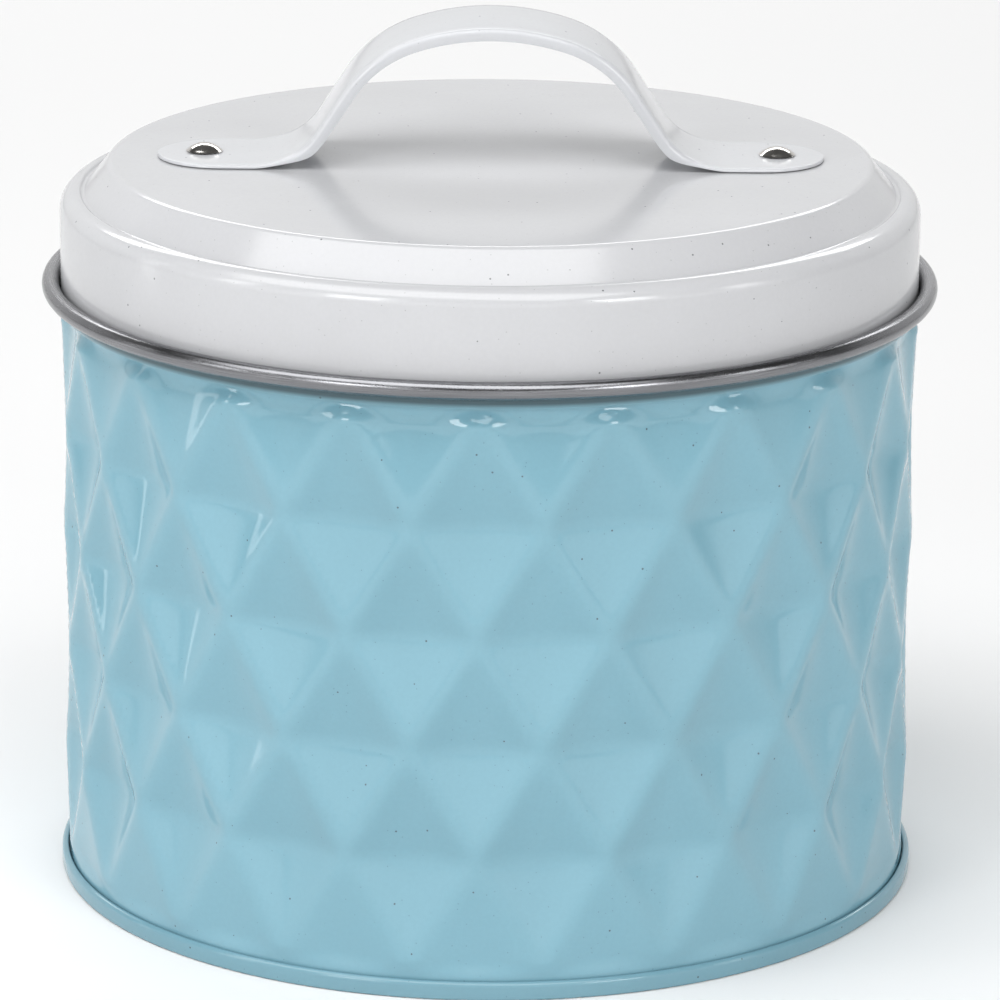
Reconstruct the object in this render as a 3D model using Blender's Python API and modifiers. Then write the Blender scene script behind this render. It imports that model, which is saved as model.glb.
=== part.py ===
"""Round cookie tin with an embossed body, a plug lid and a riveted strap handle.

Metres, +Z up. The origin is the centre of the face that the tin stands on.
The tin's axis is +Z and the handle runs along X.
"""

import math

import bmesh
import bpy

# Body: one sheet, pressed into diamonds, curled outwards at the top.
WALL_RADIUS = 0.0770
BODY_SHEET = 0.00028
DIAMONDS_AROUND = 21
DIAMOND_ROWS = 5
ROW_PITCH = 0.0197
LOWEST_ROW_HEIGHT = 0.0048
VALLEY_DEPTH = 0.0022
PATTERN_TURN = math.radians(-5.64)
BAND_STEP = 0.00018
BAND_RUN_IN = 0.0020
BAND_HEIGHT = 0.0016
RIM_RISE = 0.00665
CURL_RADIUS = 0.00155
CURL_END_ANGLE = math.radians(-120)

# Bottom end: double-seamed to the body, with its panel set in.
END_SHEET = 0.00025
SEAM_STEP = 0.00075
SEAM_HEIGHT = 0.0032
SEAM_GAP = 0.0002
SEAM_CORNER = 0.0003
PANEL_HEIGHT = 0.0034
HOOK_ROOM = 0.00135

# Lid: a pressed shell whose skirt plugs into the rim.
LID_SHEET = 0.00028
LID_CLEARANCE = 0.00025
LID_SEAT_GAP = 0.0001
LID_RISE = 0.0152
SHOULDER_RADIUS = 0.00325
LEDGE_WIDTH = 0.0041
GROOVE_DEPTH = 0.0007
SLOPE_WIDTH = 0.0048
PLATEAU_RISE = 0.0060
PLATEAU_EDGE_RADIUS = 0.0020
HEM_WIDTH = 0.00105
HEM_HEIGHT = 0.0017

# Handle: a strap with its long edges folded down, bowed up between two flat feet.
HANDLE_SHEET = 0.00055
HANDLE_GAP = 0.0002
HANDLE_WIDTH = 0.0226
HANDLE_EDGE_MARGIN = 0.0065
FOOT_LENGTH = 0.0171
HANDLE_RISE = 0.0250
CROWN_ANGLE = math.radians(17.9)
SHOULDER_BEND_RADIUS = 0.0233
LEG_ANGLE = math.radians(56.7)
FOOT_BEND_RADIUS = 0.01335
FOLD_DROP = 0.0021
FOLD_WIDTH = 0.0006

# Rivets: domed head above the strap, shank through both sheets, closed foot below.
RIVET_INSET = 0.0083
RIVET_HEAD_RADIUS = 0.00325
RIVET_HEAD_HEIGHT = 0.0014
RIVET_SHANK_RADIUS = 0.0016
RIVET_FOOT_RADIUS = 0.0027
RIVET_FOOT_THICKNESS = 0.0008
RIVET_GAP = 0.0002
RIVET_HOLE_CLEARANCE = 0.0003

# How finely round shapes are divided.
BODY_COLUMNS = 2 * DIAMONDS_AROUND
RIM_COLUMNS = 2 * BODY_COLUMNS
RIVET_SIDES = 20
TURN = 2 * math.pi

# Heights and radii that follow from the sizes above.
TOP_ROW_HEIGHT = LOWEST_ROW_HEIGHT + DIAMOND_ROWS * ROW_PITCH
BAND_RADIUS = WALL_RADIUS + BAND_STEP
BAND_START = TOP_ROW_HEIGHT + BAND_RUN_IN
RIM_HEIGHT = TOP_ROW_HEIGHT + RIM_RISE
RIM_INNER_RADIUS = BAND_RADIUS - BODY_SHEET
CURL_CENTRE_RADIUS = RIM_INNER_RADIUS + CURL_RADIUS
CURL_CENTRE_HEIGHT = RIM_HEIGHT - CURL_RADIUS
SEAM_RADIUS = WALL_RADIUS + SEAM_STEP
HOOK_LENGTH = SEAM_HEIGHT - HOOK_ROOM
HOOK_RADIUS = SEAM_RADIUS - END_SHEET - SEAM_GAP - BODY_SHEET
NECK_RADIUS = HOOK_RADIUS - SEAM_GAP - END_SHEET - SEAM_GAP
CHUCK_RADIUS = NECK_RADIUS - BODY_SHEET - SEAM_GAP - END_SHEET
SKIRT_RADIUS = RIM_INNER_RADIUS - LID_CLEARANCE
SKIRT_BOTTOM = BAND_START + LID_SEAT_GAP
CREST_HEIGHT = RIM_HEIGHT + LID_RISE
GROOVE_RADIUS = SKIRT_RADIUS - LEDGE_WIDTH
GROOVE_HEIGHT = CREST_HEIGHT - GROOVE_DEPTH
PLATEAU_RADIUS = GROOVE_RADIUS - SLOPE_WIDTH
PLATEAU_HEIGHT = GROOVE_HEIGHT + PLATEAU_RISE
HANDLE_HALF_LENGTH = PLATEAU_RADIUS - PLATEAU_EDGE_RADIUS - HANDLE_EDGE_MARGIN
ARCH_HALF_SPAN = HANDLE_HALF_LENGTH - FOOT_LENGTH
FOOT_TOP = PLATEAU_HEIGHT + HANDLE_GAP + HANDLE_SHEET
RIVET_X = HANDLE_HALF_LENGTH - RIVET_INSET


def clear_scene():
    for item in list(bpy.data.objects):
        bpy.data.objects.remove(item, do_unlink=True)


def new_collection(name):
    collection = bpy.data.collections.new(name)
    bpy.context.scene.collection.children.link(collection)
    return collection


def new_material(name, color, roughness, metallic):
    material = bpy.data.materials.new(name)
    material.use_nodes = True
    shader = material.node_tree.nodes["Principled BSDF"]
    shader.inputs["Base Color"].default_value = (*color, 1.0)
    shader.inputs["Roughness"].default_value = roughness
    shader.inputs["Metallic"].default_value = metallic
    return material


def new_object(name, mesh, collection, material=None):
    item = bpy.data.objects.new(name, mesh)
    collection.objects.link(item)
    if material:
        mesh.materials.append(material)
    return item


def finish_mesh(bm, name, sharp_angle=35):
    mesh = bpy.data.meshes.new(name)
    bm.to_mesh(mesh)
    bm.free()
    mesh.shade_smooth()
    mesh.set_sharp_from_angle(angle=math.radians(sharp_angle))
    return mesh


def add_sheet_thickness(item, thickness, mode="EXTRUDE"):
    """The drawn surface is the painted face, and the sheet lies behind it."""
    solidify = item.modifiers.new("sheet", "SOLIDIFY")
    solidify.solidify_mode = mode
    solidify.nonmanifold_thickness_mode = "CONSTRAINTS"
    solidify.use_even_offset = True
    solidify.thickness = thickness
    solidify.offset = -1.0


def profile_mesh(name, points):
    """A line of (radius, height) points in the XZ plane."""
    bm = bmesh.new()
    verts = [bm.verts.new((radius, 0, height)) for radius, height in points]
    for start, end in zip(verts, verts[1:]):
        bm.edges.new((start, end))
    return finish_mesh(bm, name)


def turned_object(name, points, sides, collection, material):
    """A profile turned once about the tin's axis."""
    item = new_object(name, profile_mesh(name, points), collection, material)
    screw = item.modifiers.new("turn", "SCREW")
    screw.axis = "Z"
    screw.angle = TURN
    screw.steps = sides
    screw.render_steps = sides
    screw.use_merge_vertices = True
    screw.merge_threshold = 0.00001
    screw.use_smooth_shade = True
    return item


def arc(centre_radius, centre_height, radius, start, end, steps):
    """(radius, height) points on an arc, from one angle to another."""
    points = []
    for step in range(steps + 1):
        angle = start + (end - start) * step / steps
        across = centre_radius + radius * math.cos(angle)
        points.append((across, centre_height + radius * math.sin(angle)))
    return points


def set_ring(verts, radius, height):
    """Moves verts to one radius and height, each at its own angle."""
    for vert in verts:
        angle = math.atan2(vert.co.y, vert.co.x)
        vert.co = (radius * math.cos(angle), radius * math.sin(angle), height)


def extrude_ring(bm, edges, radius, height):
    made = bmesh.ops.extrude_edge_only(bm, edges=edges)["geom"]
    set_ring([part for part in made if isinstance(part, bmesh.types.BMVert)], radius, height)
    return [part for part in made if isinstance(part, bmesh.types.BMEdge)]


def body_lower_profile():
    """Painted face of the sheet, from the tip of its hook up to the top row of diamonds."""
    hook_floor = END_SHEET + 1.5 * SEAM_GAP + BODY_SHEET
    points = [
        (HOOK_RADIUS, hook_floor + HOOK_LENGTH - BODY_SHEET),
        (HOOK_RADIUS, hook_floor),
        (NECK_RADIUS, hook_floor),
        (NECK_RADIUS, SEAM_HEIGHT - SEAM_GAP),
    ]
    for row in range(DIAMOND_ROWS + 1):
        points.append((WALL_RADIUS, LOWEST_ROW_HEIGHT + row * ROW_PITCH))
    return points


def rim_profile():
    """Painted face of the sheet, from the smooth band round the outward curl."""
    inner_curl = CURL_RADIUS - BODY_SHEET
    band = [(BAND_RADIUS, BAND_START), (BAND_RADIUS, BAND_START + BAND_HEIGHT)]
    turn_over = arc(CURL_CENTRE_RADIUS, CURL_CENTRE_HEIGHT, inner_curl, math.pi, -math.pi / 2, 6)
    tuck = arc(CURL_CENTRE_RADIUS, CURL_CENTRE_HEIGHT, inner_curl, CURL_END_ANGLE, CURL_END_ANGLE, 1)
    return band + turn_over + tuck[:1]


def press_diamonds(bm):
    """Each row keeps its points on the wall. Between them the end rows lie on the chords, and
    the others sink below the chords to the middle of a diamond."""
    chord_radius = WALL_RADIUS * math.cos(math.pi / DIAMONDS_AROUND)
    for vert in bm.verts:
        if vert.co.z < LOWEST_ROW_HEIGHT - SEAM_GAP:
            continue
        row = round((vert.co.z - LOWEST_ROW_HEIGHT) / ROW_PITCH)
        angle = math.atan2(vert.co.y, vert.co.x)
        column = round(angle * BODY_COLUMNS / TURN)
        on_point = (column + DIAMOND_ROWS - row) % 2 == 0
        sunk = VALLEY_DEPTH if 0 < row < DIAMOND_ROWS else 0
        set_ring([vert], WALL_RADIUS if on_point else chord_radius - sunk, vert.co.z)


def rows_between(bm, low, high):
    """Faces whose middle lies between two heights."""
    return [face for face in bm.faces if low < face.calc_center_median().z < high]


def make_body(collection):
    bm = bmesh.new()
    verts = [bm.verts.new((radius, 0, height)) for radius, height in body_lower_profile()]
    edges = [bm.edges.new(pair) for pair in zip(verts, verts[1:])]
    bmesh.ops.spin(bm, geom=verts + edges, axis=(0, 0, 1), cent=(0, 0, 0), angle=TURN,
                   steps=BODY_COLUMNS, use_merge=True)
    press_diamonds(bm)
    walls = rows_between(bm, LOWEST_ROW_HEIGHT, TOP_ROW_HEIGHT)
    bmesh.ops.triangulate(bm, faces=walls, quad_method="LONG_EDGE")
    ring = [edge for edge in bm.edges
            if edge.is_boundary and edge.verts[0].co.z > TOP_ROW_HEIGHT - SEAM_GAP]
    bmesh.ops.subdivide_edges(bm, edges=ring, cuts=1)
    split = [face for face in rows_between(bm, TOP_ROW_HEIGHT - ROW_PITCH, TOP_ROW_HEIGHT)
             if len(face.verts) > 3]
    bmesh.ops.triangulate(bm, faces=split, quad_method="SHORT_EDGE")
    ring = [edge for edge in bm.edges
            if edge.is_boundary and edge.verts[0].co.z > TOP_ROW_HEIGHT - SEAM_GAP]
    for radius, height in rim_profile():
        ring = extrude_ring(bm, ring, radius, height)
    bmesh.ops.recalc_face_normals(bm, faces=bm.faces)
    bm.faces.ensure_lookup_table()
    wall = rows_between(bm, LOWEST_ROW_HEIGHT, TOP_ROW_HEIGHT)[0]
    middle = wall.calc_center_median()
    if wall.normal.x * middle.x + wall.normal.y * middle.y < 0:
        bmesh.ops.reverse_faces(bm, faces=bm.faces)
    paint = new_material("blue_enamel", (0.29, 0.56, 0.66), 0.22, 0.0)
    body = new_object("body_shell", finish_mesh(bm, "body_shell", 3), collection, paint)
    body.rotation_euler.z = PATTERN_TURN
    add_sheet_thickness(body, BODY_SHEET, "NON_MANIFOLD")
    return body


def bottom_profile():
    """Painted face of the end, from the tip of its hook round the seam to the panel's middle."""
    low_corner = SEAM_CORNER
    high_corner = SEAM_HEIGHT - SEAM_CORNER
    end_hook_radius = NECK_RADIUS + SEAM_GAP
    return [
        (end_hook_radius, SEAM_HEIGHT - HOOK_LENGTH),
        (end_hook_radius, high_corner),
        (end_hook_radius + SEAM_CORNER, SEAM_HEIGHT),
        (SEAM_RADIUS - SEAM_CORNER, SEAM_HEIGHT),
        (SEAM_RADIUS, high_corner),
        (SEAM_RADIUS, low_corner),
        (SEAM_RADIUS - SEAM_CORNER, 0),
        (CHUCK_RADIUS + SEAM_CORNER, 0),
        (CHUCK_RADIUS, low_corner),
        (CHUCK_RADIUS, PANEL_HEIGHT - SEAM_CORNER),
        (CHUCK_RADIUS - SEAM_CORNER, PANEL_HEIGHT),
        (0, PANEL_HEIGHT),
    ]


def make_bottom(collection):
    paint = new_material("blue_enamel_end", (0.29, 0.56, 0.66), 0.24, 0.0)
    end = turned_object("bottom_end", bottom_profile(), BODY_COLUMNS, collection, paint)
    end.rotation_euler.z = PATTERN_TURN
    add_sheet_thickness(end, END_SHEET)
    return end


def lid_profile():
    """Painted face of the lid, from the middle of its plateau out and down to the hem."""
    slope = math.atan2(PLATEAU_RISE, SLOPE_WIDTH)
    edge_centre = PLATEAU_RADIUS - PLATEAU_EDGE_RADIUS * math.tan(slope / 2)
    plateau_edge = arc(edge_centre, PLATEAU_HEIGHT - PLATEAU_EDGE_RADIUS, PLATEAU_EDGE_RADIUS,
                       math.pi / 2, math.pi / 2 - slope, 2)
    groove = [(GROOVE_RADIUS, GROOVE_HEIGHT)]
    shoulder = arc(SKIRT_RADIUS - SHOULDER_RADIUS, CREST_HEIGHT - SHOULDER_RADIUS,
                   SHOULDER_RADIUS, math.pi / 2, 0, 4)
    inner_leg = SKIRT_RADIUS - HEM_WIDTH
    corner = HEM_WIDTH / 3
    hem = [
        (SKIRT_RADIUS, SKIRT_BOTTOM + corner),
        (SKIRT_RADIUS - corner, SKIRT_BOTTOM),
        (inner_leg + corner, SKIRT_BOTTOM),
        (inner_leg, SKIRT_BOTTOM + corner),
        (inner_leg, SKIRT_BOTTOM + HEM_HEIGHT),
    ]
    return [(0, PLATEAU_HEIGHT)] + plateau_edge + groove + shoulder + hem


def rivet_hole_cutter(name, side, collection):
    bpy.ops.mesh.primitive_cylinder_add(
        vertices=RIVET_SIDES,
        radius=RIVET_SHANK_RADIUS + RIVET_HOLE_CLEARANCE,
        depth=10 * (LID_SHEET + HANDLE_SHEET),
        location=(side * RIVET_X, 0, PLATEAU_HEIGHT),
    )
    cutter = bpy.context.active_object
    cutter.name = name
    for used in list(cutter.users_collection):
        used.objects.unlink(cutter)
    collection.objects.link(cutter)
    cutter.hide_render = True
    cutter.display_type = "WIRE"
    return cutter


def cut(item, cutters):
    for cutter in cutters:
        boolean = item.modifiers.new(cutter.name, "BOOLEAN")
        boolean.operation = "DIFFERENCE"
        boolean.solver = "EXACT"
        boolean.object = cutter


def make_lid(collection, cutters):
    paint = new_material("white_enamel", (0.74, 0.76, 0.78), 0.2, 0.0)
    lid = turned_object("lid_shell", lid_profile(), RIM_COLUMNS, collection, paint)
    lid.rotation_euler.z = PATTERN_TURN
    add_sheet_thickness(lid, LID_SHEET)
    cut(lid, cutters)
    return lid


def arch_sizes():
    """Crown radius and straight leg length that give the arch its rise and its span."""
    rise = (HANDLE_RISE
            - SHOULDER_BEND_RADIUS * (math.cos(CROWN_ANGLE) - math.cos(LEG_ANGLE))
            - FOOT_BEND_RADIUS * (1 - math.cos(LEG_ANGLE)))
    span = (ARCH_HALF_SPAN
            - SHOULDER_BEND_RADIUS * (math.sin(LEG_ANGLE) - math.sin(CROWN_ANGLE))
            - FOOT_BEND_RADIUS * math.sin(LEG_ANGLE))
    crown_up = 1 - math.cos(CROWN_ANGLE)
    crown_out = math.sin(CROWN_ANGLE)
    leg_up = math.sin(LEG_ANGLE)
    leg_out = math.cos(LEG_ANGLE)
    scale = crown_up * leg_out - crown_out * leg_up
    crown_radius = (rise * leg_out - span * leg_up) / scale
    leg_length = (crown_up * span - crown_out * rise) / scale
    return crown_radius, leg_length


def half_arch():
    """(x, z, slope) stations on the strap's top face, from the crown to the foot's tip."""
    crown_radius, leg_length = arch_sizes()
    stations = []
    for step in range(3):
        slope = CROWN_ANGLE * step / 3
        drop = crown_radius * (1 - math.cos(slope))
        stations.append((crown_radius * math.sin(slope), FOOT_TOP + HANDLE_RISE - drop, slope))
    centre_x = (crown_radius - SHOULDER_BEND_RADIUS) * math.sin(CROWN_ANGLE)
    centre_z = (FOOT_TOP + HANDLE_RISE - crown_radius
                + (crown_radius - SHOULDER_BEND_RADIUS) * math.cos(CROWN_ANGLE))
    for step in range(5):
        slope = CROWN_ANGLE + (LEG_ANGLE - CROWN_ANGLE) * step / 4
        x = centre_x + SHOULDER_BEND_RADIUS * math.sin(slope)
        stations.append((x, centre_z + SHOULDER_BEND_RADIUS * math.cos(slope), slope))
    for step in range(7):
        slope = LEG_ANGLE * (1 - step / 6)
        x = ARCH_HALF_SPAN - FOOT_BEND_RADIUS * math.sin(slope)
        stations.append((x, FOOT_TOP + FOOT_BEND_RADIUS * (1 - math.cos(slope)), slope))
    stations.append((HANDLE_HALF_LENGTH - HANDLE_WIDTH / 2, FOOT_TOP, 0))
    for step in range(1, 7):
        x = HANDLE_HALF_LENGTH - HANDLE_WIDTH / 2 * (1 - math.sin(math.pi / 12 * step))
        stations.append((x, FOOT_TOP, 0))
    return stations


def strap_section(x, z, slope):
    """Points across the strap at one station: folded edges, then the flat top between them."""
    past_round = max(0, abs(x) - (HANDLE_HALF_LENGTH - HANDLE_WIDTH / 2))
    half_width = math.sqrt(max(0, (HANDLE_WIDTH / 2) ** 2 - past_round ** 2))
    drop = min(FOLD_DROP, (z - FOOT_TOP) / math.cos(slope))
    fold = min(FOLD_WIDTH, half_width / 3)
    low_x = x - math.copysign(drop * math.sin(slope), x)
    low_z = z - drop * math.cos(slope)
    return [
        (low_x, -half_width, low_z),
        (x, -half_width + fold, z),
        (x, 0, z),
        (x, half_width - fold, z),
        (low_x, half_width, low_z),
    ]


def make_handle(collection, cutters):
    right = half_arch()
    left = [(-x, z, slope) for x, z, slope in reversed(right[1:])]
    stations = left + right
    bm = bmesh.new()
    grid = bmesh.ops.create_grid(bm, x_segments=4, y_segments=len(stations) - 1, size=1.0)
    ordered = sorted(grid["verts"], key=lambda vert: (round(vert.co.y, 4), vert.co.x))
    for index, station in enumerate(stations):
        section = strap_section(*station)
        for vert, place in zip(ordered[5 * index:5 * index + 5], section):
            vert.co = place
    bmesh.ops.remove_doubles(bm, verts=bm.verts, dist=0.00001)
    bm.faces.ensure_lookup_table()
    crown = max(bm.faces, key=lambda face: face.calc_center_median().z)
    bmesh.ops.recalc_face_normals(bm, faces=bm.faces)
    if crown.normal.z < 0:
        bmesh.ops.reverse_faces(bm, faces=bm.faces)
    paint = new_material("white_enamel_handle", (0.76, 0.78, 0.80), 0.2, 0.0)
    handle = new_object("handle_strap", finish_mesh(bm, "handle_strap"), collection, paint)
    add_sheet_thickness(handle, HANDLE_SHEET)
    cut(handle, cutters)
    return handle


def rivet_profile():
    """From the top of the dome out, under the head, down the shank and round the foot."""
    dome_radius = (RIVET_HEAD_RADIUS ** 2 + RIVET_HEAD_HEIGHT ** 2) / (2 * RIVET_HEAD_HEIGHT)
    head_base = FOOT_TOP + RIVET_GAP
    start = math.asin(RIVET_HEAD_RADIUS / dome_radius)
    dome = arc(0, head_base + RIVET_HEAD_HEIGHT - dome_radius, dome_radius,
               math.pi / 2, math.pi / 2 - start, 4)
    foot_top = PLATEAU_HEIGHT - LID_SHEET - RIVET_GAP
    foot_bottom = foot_top - RIVET_FOOT_THICKNESS
    return dome + [
        (RIVET_SHANK_RADIUS, head_base),
        (RIVET_SHANK_RADIUS, foot_top),
        (RIVET_FOOT_RADIUS, foot_top),
        (RIVET_FOOT_RADIUS, foot_bottom + RIVET_FOOT_THICKNESS / 3),
        (RIVET_FOOT_RADIUS * 0.8, foot_bottom),
        (0, foot_bottom),
    ]


def make_rivet(name, side, collection, material):
    rivet = turned_object(name, rivet_profile(), RIVET_SIDES, collection, material)
    rivet.location.x = side * RIVET_X
    return rivet


def build():
    clear_scene()
    tin = new_collection("cookie_tin")
    helpers = new_collection("cutters")
    cutters = [
        rivet_hole_cutter("rivet_hole_left", -1, helpers),
        rivet_hole_cutter("rivet_hole_right", 1, helpers),
    ]
    make_body(tin)
    make_bottom(tin)
    lid_lift = bpy.data.objects.new("lid_lift_axis", None)
    tin.objects.link(lid_lift)
    nickel = new_material("nickel", (0.62, 0.60, 0.57), 0.18, 1.0)
    lid_parts = [
        make_lid(tin, cutters),
        make_handle(tin, cutters),
        make_rivet("rivet_left", -1, tin, nickel),
        make_rivet("rivet_right", 1, tin, nickel),
    ]
    for item in lid_parts:
        item.parent = lid_lift


build()
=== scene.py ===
"""Looks for a round cookie tin: a blue body with pressed diamonds, a white plug lid and a strap handle.

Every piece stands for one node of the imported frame, at that node's sizes, in metres.
The tin's axis is +Z, the handle runs along X, and the floor is at z = 0.
"""

import math

import bmesh
import bpy
from bpy.props import FloatProperty, FloatVectorProperty, IntProperty, PointerProperty
from mathutils import Matrix, Vector


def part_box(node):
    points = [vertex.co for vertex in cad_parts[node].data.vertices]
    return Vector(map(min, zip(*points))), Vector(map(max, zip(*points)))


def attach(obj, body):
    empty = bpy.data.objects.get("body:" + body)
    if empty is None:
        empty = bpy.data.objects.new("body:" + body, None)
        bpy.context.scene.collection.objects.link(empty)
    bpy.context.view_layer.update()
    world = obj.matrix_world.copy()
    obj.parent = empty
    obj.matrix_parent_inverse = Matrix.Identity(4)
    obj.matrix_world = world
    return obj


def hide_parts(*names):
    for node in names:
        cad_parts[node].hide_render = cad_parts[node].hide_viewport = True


bl_info = {
    "name": "Cookie tin",
    "version": (1, 0, 0),
    "blender": (4, 5, 0),
    "location": "3D View > Sidebar > Cookie tin",
    "description": "Models and paints the tin's body, bottom, lid, handle and rivets round its frame",
    "category": "Object",
}

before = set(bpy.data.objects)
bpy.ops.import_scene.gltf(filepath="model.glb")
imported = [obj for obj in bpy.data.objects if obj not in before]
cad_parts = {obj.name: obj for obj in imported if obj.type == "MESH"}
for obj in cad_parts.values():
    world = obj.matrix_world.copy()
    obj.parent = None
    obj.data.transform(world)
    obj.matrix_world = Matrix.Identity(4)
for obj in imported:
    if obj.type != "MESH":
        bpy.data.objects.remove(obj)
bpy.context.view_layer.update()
TURN = 2 * math.pi
MM = 0.001
MICRON = 0.001 * MM
ROUND_COLUMNS = 252
SHARP_ANGLE = math.radians(50)


def half_width(node):
    low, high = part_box(node)
    return (high.x - low.x) / 2


RIM_OUTER_RADIUS = half_width("body_shell") - 0.01 * MM
RIM_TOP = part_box("body_shell")[1].z
SKIRT_RADIUS = half_width("lid_shell")
SKIRT_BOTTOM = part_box("lid_shell")[0].z
PLATEAU_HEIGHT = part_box("lid_shell")[1].z
HANDLE_HALF_LENGTH = half_width("handle_strap")
HANDLE_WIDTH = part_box("handle_strap")[1].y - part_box("handle_strap")[0].y
HANDLE_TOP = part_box("handle_strap")[1].z
RIVET_HEAD_RADIUS = half_width("rivet_right")
RIVET_X = (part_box("rivet_right")[0].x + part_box("rivet_right")[1].x) / 2
RIVET_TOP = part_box("rivet_right")[1].z
RIVET_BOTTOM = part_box("rivet_right")[0].z


# ---------------------------------------------------------------- settings


def length(name, default, description):
    return FloatProperty(name=name, description=description, default=default,
                         min=0.0, unit="LENGTH", precision=5)


def colour(name, default, description):
    return FloatVectorProperty(name=name, description=description, default=default,
                               min=0.0, max=1.0, size=3, subtype="COLOR")


class CookieTinBody(bpy.types.PropertyGroup):
    wall_radius: length("Wall radius", 0.0770, "From the axis to the diamonds' points")
    sheet: length("Sheet", 0.00028, "Thickness of the tinplate")
    row_pitch: length("Row pitch", 0.0197, "Height of one row of diamonds")
    lowest_row: length("Lowest row", 0.0048, "Height of the lowest ring of points")
    valley_depth: length("Valley depth", 0.0028, "How far each diamond's middle sinks")
    neck_radius: length("Neck radius", 0.0752, "Painted face of the bead under the rim")
    curl_radius: length("Curl radius", 0.00155, "Outer radius of the curled edge")
    around: IntProperty(name="Diamonds around", default=21, min=3,
                        description="Number of diamonds in one row")
    rows: IntProperty(name="Rows", default=5, min=1, description="Number of diamond rows")
    turn: FloatProperty(name="Pattern turn", default=math.radians(-5.64), unit="ROTATION",
                        description="Angle of one point of the top row")
    paint: colour("Blue enamel", (0.202, 0.392, 0.473), "Colour of the body's paint")
    metal: colour("Tinplate", (0.52, 0.525, 0.54), "Colour of the bare sheet")


class CookieTinBottom(bpy.types.PropertyGroup):
    seam_radius: length("Seam radius", 0.07775, "Outside of the double seam")
    seam_height: length("Seam height", 0.0032, "Height of the double seam")
    sheet: length("Sheet", 0.00025, "Thickness of the end")
    panel_height: length("Panel height", 0.0034, "Underside of the set-in panel")
    bead_radius: length("Bead radius", 0.0560, "Radius of the panel's stiffening bead")


class CookieTinLid(bpy.types.PropertyGroup):
    sheet: length("Sheet", 0.00028, "Thickness of the tinplate")
    crest_height: length("Crest height", 0.12515, "Top of the outer shoulder")
    shoulder_radius: length("Shoulder radius", 0.00325, "Rounding of the outer shoulder")
    groove_radius: length("Groove radius", 0.07255, "Radius of the groove inside the shoulder")
    groove_depth: length("Groove depth", 0.0007, "Depth of the groove below the crest")
    plateau_radius: length("Plateau radius", 0.06775, "Radius of the raised top")
    edge_radius: length("Edge radius", 0.0016, "Rounding of the raised top's edge")
    paint: colour("White enamel", (0.52, 0.525, 0.54), "Colour of the lid's paint")


class CookieTinHandle(bpy.types.PropertyGroup):
    sheet: length("Sheet", 0.00055, "Thickness of the strap")
    foot_length: length("Foot length", 0.0171, "Length of each flat foot")
    crown_angle: FloatProperty(name="Crown angle", default=math.radians(17.9), unit="ROTATION",
                               description="Slope where the crown ends")
    leg_angle: FloatProperty(name="Leg angle", default=math.radians(56.7), unit="ROTATION",
                             description="Slope of the straight leg")
    shoulder_bend: length("Shoulder bend", 0.0233, "Radius between the crown and the leg")
    foot_bend: length("Foot bend", 0.01335, "Radius between the leg and the foot")
    fold_drop: length("Fold drop", 0.0021, "Depth of the folded long edges")
    fold_radius: length("Fold radius", 0.0009, "Rounding of the folded long edges")
    crowning: length("Crowning", 0.00030, "How far the strap's middle stands above its edges")
    paint: colour("White enamel", (0.55, 0.56, 0.58), "Colour of the handle's paint")


class CookieTinRivets(bpy.types.PropertyGroup):
    head_height: length("Head height", 0.0014, "Height of the domed head")
    shank_radius: length("Shank radius", 0.0016, "Radius of the shank")
    foot_radius: length("Foot radius", 0.0027, "Radius of the closed end under the lid")
    foot_thickness: length("Foot thickness", 0.0008, "Thickness of the closed end")
    metal: colour("Nickel", (0.66, 0.64, 0.61), "Colour of the plated metal")


class CookieTinStage(bpy.types.PropertyGroup):
    floor: colour("Floor", (0.82, 0.82, 0.82), "Colour of the floor")
    camera_distance: length("Camera distance", 1.0495, "From the camera to the tin's axis")
    camera_elevation: FloatProperty(name="Camera elevation", default=math.radians(17.013),
                                    unit="ROTATION", description="Above the horizon")
    camera_roll: FloatProperty(name="Camera roll", default=math.radians(0.451),
                               unit="ROTATION", description="Turn about the line of sight")
    lens: FloatProperty(name="Lens", default=207.7, min=10.0, unit="CAMERA",
                        description="Focal length in millimetres")


# ---------------------------------------------------------------- node helpers


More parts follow.
